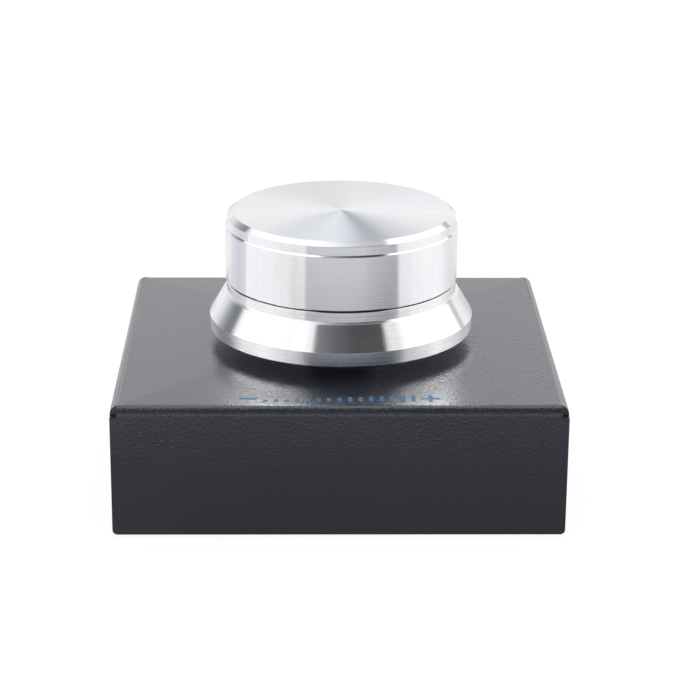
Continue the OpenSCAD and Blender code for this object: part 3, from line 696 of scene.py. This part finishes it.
axes = add(sky, "ShaderNodeSeparateXYZ", {0: add(sky, "ShaderNodeTexCoord").outputs["Generated"]})
east, north, height = axes.outputs["X"], axes.outputs["Y"], axes.outputs["Z"]
azimuth = bearing(sky, east, add(sky, MATH, {0: north, 1: -1.0}, operation="MULTIPLY"))
behind = bearing(sky, east, north)
arc = add(sky, MATH, {0: height}, operation="ARCSINE")
elevation = add(sky, MATH, {0: arc}, operation="DEGREES").outputs[0]
print("nodes for the directions:", len(sky.nodes))

# %% [markdown]
# Three kinds of step build the room on those directions: a mask for where a thing is, a colour that changes
# along it, and a layer of that colour over what is there already. A painted panorama could hold the same
# room, but each edge and each shade would have to be painted again to move it.

# %% Masks
def between(tree, value, low, high, soft):
    """A mask: 1 from low to high and 0 outside them, with smooth steps as wide as soft. None leaves a side
    open. It is the step at low, or 1, less the step at high, or 0."""
    steps = [1.0, 0.0]
    for k, at in enumerate((low, high)):
        if at is not None:
            steps[k] = add(tree, "ShaderNodeMapRange", {"Value": value, "From Min": at - soft / 2,
                                                        "From Max": at + soft / 2},
                           interpolation_type="SMOOTHSTEP")
    return add(tree, MATH, {0: steps[0], 1: steps[1]}, operation="SUBTRACT").outputs[0]


def paint(tree, under, colour, *masks):
    """Lays a colour over what is there, by the product of the masks."""
    share = masks[0]
    for mask in masks[1:]:
        share = add(tree, MATH, {0: share, 1: mask}, operation="MULTIPLY").outputs[0]
    return add(tree, "ShaderNodeMix", {"Factor": share, "A": under, "B": colour},
               data_type="RGBA").outputs["Result"]


# %% Colours that change along a wall
def grey(level, tint="#ffffff"):
    """A tint's linear colour times a level; a level of 1 is a white wall."""
    return (*(level * c for c in linear(tint)[:3]), 1)


def ramp(tree, value, stops, power=1.0):
    """A colour that runs straight from stop to stop. Each stop is a value, a level and, if it isn't white, a
    tint. The value is first brought to the 0 to 1 of a colour ramp, and the power multiplies the levels."""
    first, last = stops[0][0], stops[-1][0]
    share = add(tree, "ShaderNodeMapRange", {"Value": value, "From Min": first, "From Max": last})
    made = add(tree, "ShaderNodeValToRGB", {"Fac": share.outputs["Result"]})
    points = made.color_ramp.elements
    for at, level, *tint in stops[1:-1]:
        points.new((at - first) / (last - first)).color = grey(level * power, *tint)
    for point, (_, level, *tint) in ((points[0], stops[0]), (points[-1], stops[-1])):
        point.color = grey(level * power, *tint)
    return made.outputs["Color"]


def product(tree, colour, *factors):
    """A colour multiplied by the others."""
    for factor in factors:
        colour = add(tree, "ShaderNodeMix", {"Factor": 1.0, "A": colour, "B": factor}, data_type="RGBA",
                     blend_type="MULTIPLY").outputs["Result"]
    return colour


def streaks(tree, value, scale, dark, pale):
    """A tint that wanders between two hex colours as the value grows: noise of one dimension, stretched by a
    ramp."""
    wander = add(tree, "ShaderNodeTexNoise", {"W": value, "Scale": scale, "Detail": 3.0, "Roughness": 0.7},
                 noise_dimensions="1D").outputs["Fac"]
    return ramp(tree, wander, [(0.3, 1, dark), (0.7, 1, pale)])


# %% [markdown]
# Behind the object is a pale wall. A spun face mirrors it as a fan, so the wall's brightness is a function
# of the angle about the point that the face mirrors, and one of its stops is one spoke. Eight such walls
# stand in a ring, so the face has its fan from every side.

# %% Pale walls
fan_at, fan_tall, fan_wide = (1.0, 16.2), 11.8, 4.65
half_wall = 22.5
wall_power = 1.1
off_middle = add(sky, MATH, {0: behind, 1: fan_at[0]}, operation="SUBTRACT")
turned = add(sky, MATH, {0: off_middle, 1: half_wall, 2: -half_wall}, operation="WRAP")
raised = add(sky, MATH, {0: elevation, 1: fan_at[1]}, operation="SUBTRACT")
spoke = bearing(sky, add(sky, MATH, {0: turned, 1: fan_wide}, operation="DIVIDE"),
                add(sky, MATH, {0: raised, 1: fan_tall}, operation="DIVIDE"))
fan = ramp(sky, spoke, [
    (-180, 1.16, "#fff8f0"), (-160, 1.05, "#fffbf6"), (-130, 0.95), (-95, 0.93), (-77, 0.93), (-64, 0.94),
    (-50, 0.82, "#fafbff"), (-37, 0.83, "#f6faff"), (-16, 0.94, "#f4faff"), (-3, 0.91, "#f4faff"),
    (6, 0.87, "#f2f7ff"), (14, 0.74, "#f0f5ff"), (21, 0.53, "#eef2ff"), (28, 0.36, "#eaeeff"),
    (35, 0.47, "#f2f5ff"), (42, 0.63, "#f6f8ff"), (56, 0.79, "#f9fbff"), (70, 0.91), (84, 0.96), (110, 0.95),
    (140, 1.03), (180, 1.16, "#fff8f0")], wall_power)
fan = product(sky, fan, streaks(sky, spoke, 0.15, "#ecedf0", "#ffffff"))
near_fan = add(sky, MATH, {0: between(sky, behind, -24, 26, 8), 1: between(sky, elevation, -20, 58, 10)},
               operation="MULTIPLY")
low_wall = add(sky, MATH, {0: near_fan, 1: between(sky, elevation, 4, 50, 6)}, operation="MAXIMUM")
view = paint(sky, grey(1.02, "#fafbff"), fan, low_wall)
print("nodes with the walls:", len(sky.nodes))

# %% [markdown]
# At the left rear the wall falls into shade, up to the edge of a light box. The edges of the shade and of
# the box lean, so each is a line in azimuth and elevation together.

# %% Shade at the left
left_lean = add(sky, MATH, {0: elevation, 1: 1.35, 2: azimuth}, operation="MULTIPLY_ADD")
left_fade = add(sky, MATH, {0: elevation, 1: 0.8, 2: azimuth}, operation="MULTIPLY_ADD")
left_shade = ramp(sky, left_fade, [(-150, 1.04), (-131, 0.83), (-124, 0.56, "#fafaff"),
                                   (-117, 0.38, "#f6f7ff"), (-108, 0.25, "#f4f5ff"), (-90, 0.23)])
left_shade = product(sky, left_shade, streaks(sky, azimuth, 0.3, "#e6e8ee", "#ffffff"))
short_of_box = add(sky, MATH, {0: left_lean, 1: -82.0}, operation="LESS_THAN")
view = paint(sky, view, left_shade, between(sky, azimuth, -172, -60, 2), between(sky, elevation, -2, None, 3),
             between(sky, left_fade, -146, -40, 8), short_of_box)
print("nodes with the shade at the left:", len(sky.nodes))

# %% [markdown]
# The boxes of light stand above the walls. Their lower edge drops from the front to the sides, the right
# one ends in a dim seam, and a third closes the room overhead.

# %% Light boxes
box_power, box_rise, box_edge = 1.25, 0.45, 60.5
seam_power = 0.5
outward = add(sky, MATH, {0: azimuth}, operation="ABSOLUTE")
rise = add(sky, MATH, {0: outward, 1: box_rise, 2: elevation}, operation="MULTIPLY_ADD")
box_corner = add(sky, MATH, {0: between(sky, outward, 30, 68, 6), 1: between(sky, elevation, 32, None, 4)},
                 operation="MULTIPLY")
above_wall = add(sky, MATH, {0: between(sky, rise, box_edge, None, 2), 1: box_corner}, operation="MAXIMUM")
view = paint(sky, view, grey(box_power), between(sky, azimuth, -176, 5, 2), above_wall,
             between(sky, left_lean, -85, None, 2))

right_lean = add(sky, MATH, {0: elevation, 1: -1.02, 2: azimuth}, operation="MULTIPLY_ADD")
right_side = add(sky, MATH, {0: between(sky, azimuth, 0, 176, 2), 1: above_wall}, operation="MULTIPLY")
view = paint(sky, view, grey(box_power), right_side, between(sky, right_lean, -90, 116, 2))
view = paint(sky, view, grey(seam_power), right_side, between(sky, right_lean, 114.5, 124.5, 2))
view = paint(sky, view, grey(box_power), between(sky, elevation, 56, None, 10))
print("nodes with the light boxes:", len(sky.nodes))

# %% [markdown]
# In front is the dark side of the room: the wall in its shade, and above it a deep dark panel. The panel
# has straight edges, and a straight edge overhead is a straight line in x / z and y / z, which is where a
# ray would pass through a ceiling.

# %% Dark side of the room
front_left, front_right = -34, 57
front_shade = 0.28
view = paint(sky, view, product(sky, fan, grey(front_shade)),
             between(sky, azimuth, front_left, front_right, 3), between(sky, elevation, 4, 34, 4))
lift = add(sky, MATH, {0: height, 1: 0.02}, operation="MAXIMUM")
over_x = add(sky, MATH, {0: east, 1: lift}, operation="DIVIDE")
over_y = add(sky, MATH, {0: north, 1: lift}, operation="DIVIDE")
left_line = add(sky, MATH, {0: over_y, 1: -0.445, 2: over_x}, operation="MULTIPLY_ADD")
right_line = add(sky, MATH, {0: over_y, 1: 0.45, 2: over_x}, operation="MULTIPLY_ADD")
rear_line = add(sky, MATH, {0: over_x, 1: -0.62, 2: over_y}, operation="MULTIPLY_ADD")
front = ramp(sky, azimuth, [(-30, 0.22, "#f4faff"), (-18, 0.16), (2, 0.09), (14, 0.035), (44, 0.03)])
front = product(sky, front, streaks(sky, azimuth, 0.2, "#dfeaff", "#fff0f0"))
view = paint(sky, view, front, between(sky, left_line, -0.093, None, 0.03),
             between(sky, right_line, None, 0.465, 0.06), between(sky, rear_line, None, -0.14, 0.05),
             between(sky, elevation, 33, None, 3))
print("nodes with the dark side:", len(sky.nodes))

# %% [markdown]
# The knob's upright band leans out, so it shows the coat in front of it, and in the coat the room's side
# lights from 25 degrees up. The coat gives back only a sixth of them, and real ones are far brighter than
# white. So a ray that has met two mirrors sees side lights of that strength, and what mirrors the room once
# keeps its detail. A ray that has met three is lost under the skirt, where little light comes.

# %% World seen by the second mirror
echo = ramp(sky, azimuth, [
    (-180, 2.2), (-150, 3.1), (-142, 2.4), (-130, 1.5), (-118, 1.9), (-109, 4.6), (-101, 11.5), (-88, 8.6),
    (-72, 11.5), (-60, 9.0), (-50, 6.8), (-36, 6.0), (-32.5, 0.2), (-15, 0.1), (0, 0.03), (20, 0.02),
    (40, 0.06), (54, 0.2), (58, 5.4), (73, 6.8), (85, 7.8), (93, 12.5), (103, 8.8), (113, 7.6), (124, 6.8),
    (134, 5.1), (144, 5.4), (154, 4.6), (164, 3.0), (180, 2.3)])
in_front = add(sky, MATH, {0: between(sky, azimuth, front_left, front_right, 2),
                           1: between(sky, elevation, -4, 42, 4)}, operation="MULTIPLY")
side_lights = add(sky, MATH, {0: between(sky, elevation, 24, 44, 5), 1: in_front}, operation="MAXIMUM")
echo = paint(sky, view, echo, side_lights)
under_skirt = grey(0.35, "#e8f0ff")
rays = add(sky, "ShaderNodeLightPath").outputs
twice = add(sky, MATH, {0: rays["Glossy Depth"], 1: 2.0, 2: 0.5}, operation="COMPARE")
deeper = add(sky, MATH, {0: rays["Glossy Depth"], 1: 2.5}, operation="GREATER_THAN")
mirrored = paint(sky, paint(sky, view, echo, twice), under_skirt, deeper)
print("nodes with the second mirror:", len(sky.nodes))

# %% [markdown]
# Light for the matt surfaces comes evenly from above and a little less from below. The camera itself sees
# plain white, because the photograph's ground is white.

# %% What each kind of ray sees
in_metal = add(sky, MATH, {0: rays["Is Glossy Ray"], 1: rays["Is Transmission Ray"]}, operation="MAXIMUM")
plain_sky, plain_ground, white = grey(1.0, "#fbfcff"), grey(0.8), grey(1)
soft_light = paint(sky, plain_ground, plain_sky, between(sky, height, 0, None, 0.2))
seen = paint(sky, paint(sky, soft_light, mirrored, in_metal), white, rays["Is Camera Ray"])
shine = add(sky, "ShaderNodeBackground", {"Color": seen, "Strength": 1.0})
add(sky, "ShaderNodeOutputWorld", {"Surface": shine})
world.cycles.sampling_method = "NONE"
print("nodes of the whole world:", len(sky.nodes))

# %% [markdown]
# ## Floor
#
# A pale table. The camera sees it white, with the object's soft shadow. Upright metal mirrors it too, and
# shows it as the photograph's table is: white at the sides, shaded towards the dark side of the room, and
# darkest close to the box. That light and shade is painted into the colour the mirrors see, as a function of
# the bearing and the distance from the object.

# %% Floor and its directions
floor_reach = 1.2
corner_points = np.array([[-floor_reach, -floor_reach, 0], [floor_reach, -floor_reach, 0],
                          [floor_reach, floor_reach, 0], [-floor_reach, floor_reach, 0]])
floor = mesh_object("floor", corner_points, [(0, 1, 2, 3)])
board = bpy.data.materials.new("white_table")
board.use_nodes = True
tree = board.node_tree
tree.nodes.clear()
spot = add(tree, "ShaderNodeSeparateXYZ", {0: add(tree, "ShaderNodeTexCoord").outputs["Object"]}).outputs
near = add(tree, MATH, {0: spot["Y"], 1: -1.0}, operation="MULTIPLY")
around = bearing(tree, spot["X"], near)
aside = add(tree, MATH, {0: around}, operation="ABSOLUTE")
across_squared = add(tree, MATH, {0: spot["X"], 1: 2.0}, operation="POWER")
away_squared = add(tree, MATH, {0: near, 1: near, 2: across_squared}, operation="MULTIPLY_ADD")
away = add(tree, MATH, {0: away_squared}, operation="SQRT")
print("floor in m:", 2 * floor_reach)

# %% [markdown]
# The table's painted light and shade is laid on as the room's was: the sides and the rear first, then the
# painted shade at the left, and the front last. Most are ramps along the bearing, and the sides and the front
# get painted shade close to the box.

# %% Table at the sides and behind
side_look = ramp(tree, aside, [(0, 1.18), (58, 1.18), (72, 1.26), (95, 1.24), (110, 1.14), (120, 1.0),
                               (140, 0.95), (180, 0.9)])
side_near = ramp(tree, aside, [(35, 0.66), (65, 0.7), (85, 0.78), (100, 0.9), (180, 0.88)])
# Painted shade: the sides of the table are darker close to the box, and again beyond 0.2 m.
near_box_painted_shade = paint(tree, grey(1), side_near, between(tree, away, None, 0.137, 0.006))
far_painted_shade = paint(tree, grey(1), grey(0.76), between(tree, away, 0.2, None, 0.03))
left_look = ramp(tree, around, [(-160, 0.94), (-140, 0.99), (-128, 0.88, "#fafaff"), (-118, 0.79, "#f6f8ff"),
                                (-103, 0.86, "#fafaff")])
table = paint(tree, product(tree, side_look, near_box_painted_shade, far_painted_shade), left_look,
              between(tree, around, -160, -103, 3))
print("nodes with the table's sides:", len(tree.nodes))

# %% Table in front
# Painted shade in front: the table is darker close to the box and towards the right.
front_zone = between(tree, around, -33.5, 53.3, 2)
front_depth = ramp(tree, away, [(0.12, 0.58, "#f6f6ff"), (0.131, 0.65, "#f6f6ff"), (0.145, 0.75, "#f8f8ff"),
                                (0.168, 0.87, "#f8f8ff"), (0.18, 0.88, "#f8f8ff")])
front_side = ramp(tree, around, [(-34, 0.86), (-24, 1), (5, 1), (21, 1.04), (28, 0.94), (48, 0.84),
                                 (54, 0.82)])
low_right = ramp(tree, around, [(10, 0.96), (31, 0.6), (42, 0.42), (53, 0.36)])
low_right = paint(tree, low_right, grey(1), between(tree, away, 0.158, None, 0.01))
table = paint(tree, table, product(tree, front_depth, front_side, low_right), front_zone)
table = product(tree, table, streaks(tree, around, 0.35, "#eeeef1", "#ffffff"))
print("nodes with the table's front:", len(tree.nodes))

# %% [markdown]
# A painted shadow darkens the table right round the foot of the box, and in front of it the painted dark
# patch reaches further. The coat of the front flap mirrors that patch, and so looks nearly black.

# %% Painted shadow round the box, as the metal sees it
sideways = add(tree, MATH, {0: spot["X"]}, operation="ABSOLUTE")
lengthways = add(tree, MATH, {0: near}, operation="ABSOLUTE")
beside = add(tree, MATH, {0: sideways, 1: lengthways}, operation="MAXIMUM")
front_painted_shadow = add(tree, MATH, {0: between(tree, near, 0.03, 0.105, 0.012),
                               1: between(tree, sideways, None, 0.05, 0.01)}, operation="MULTIPLY")
painted_shadow = add(tree, MATH, {0: between(tree, beside, None, 0.08, 0.02), 1: front_painted_shadow}, operation="MAXIMUM")
# Painted shadow: the table that mirrors see is grey 0.2 close to the box.
mirrored = paint(tree, table, grey(0.2), painted_shadow)
print("nodes with the shadow:", len(tree.nodes))

# %% [markdown]
# The camera and the mirrors see the table glow by itself, with a little real light on top that lets the
# object's shadow show. Matt surfaces get the table's light from a plain pale sheet, shaded in front.

# %% What each kind of ray sees of the table
rays = add(tree, "ShaderNodeLightPath").outputs
in_metal = add(tree, MATH, {0: rays["Is Glossy Ray"], 1: rays["Is Transmission Ray"]}, operation="MAXIMUM")
shown = add(tree, MATH, {0: rays["Is Camera Ray"], 1: in_metal}, operation="MAXIMUM")
bounced = paint(tree, linear("#e8e8e8"), linear("#8c8c90"), front_zone)
plain = add(tree, "ShaderNodeBsdfDiffuse", {"Color": bounced})
dim = add(tree, "ShaderNodeBsdfDiffuse", {"Color": paint(tree, grey(0.12), grey(0.03), in_metal)})
glow = add(tree, "ShaderNodeEmission", {"Color": paint(tree, grey(0.92), mirrored, in_metal),
                                        "Strength": 1.0})
lifted = add(tree, "ShaderNodeAddShader", {0: dim, 1: glow})
mixed = add(tree, "ShaderNodeMixShader", {0: shown, 1: plain, 2: lifted})
add(tree, "ShaderNodeOutputMaterial", {"Surface": mixed})
board.cycles.emission_sampling = "NONE"
finish_with(floor, board)
print("nodes of the whole table:", len(tree.nodes))

# %% Finish
bpy.context.scene.view_settings.view_transform = "Standard"
